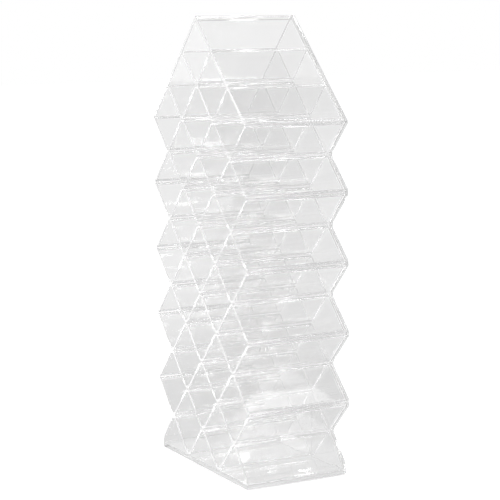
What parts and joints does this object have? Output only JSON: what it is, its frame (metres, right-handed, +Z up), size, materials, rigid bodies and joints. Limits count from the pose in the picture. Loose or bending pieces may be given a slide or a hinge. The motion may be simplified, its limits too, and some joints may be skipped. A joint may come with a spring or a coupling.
{
  "type": "lipstick organizer",
  "caption": "Free-standing tower of clear acrylic with stacked diamond compartments under a pitched roof, open at the front, for lipstick tubes.",
  "frame": {"origin": "middle of the footprint, on the surface that the base plate stands on", "axes": "+Z up, +X to the right across the compartments as seen from the front, compartments open towards -Y"},
  "size_m": [0.114, 0.0608, 0.2484],
  "materials": {
    "base_acrylic": "clear polished acrylic, 2.5 mm sheet",
    "divider_acrylic": "clear bent acrylic, 1.5 mm sheet",
    "roof_acrylic": "clear folded acrylic, 2 mm sheet",
    "panel_acrylic": "clear polished acrylic, 2 mm sheet"
  },
  "bodies": {
    "root": {"base_plate": "base_acrylic", "divider_01": "divider_acrylic", "divider_02": "divider_acrylic", "divider_03": "divider_acrylic", "divider_04": "divider_acrylic", "divider_05": "divider_acrylic", "divider_06": "divider_acrylic", "divider_07": "divider_acrylic", "divider_08": "divider_acrylic", "divider_09": "divider_acrylic", "divider_10": "divider_acrylic", "divider_11": "divider_acrylic", "divider_12": "divider_acrylic", "roof_sheet": "roof_acrylic", "back_panel": "panel_acrylic"}
  },
  "joints": []
}
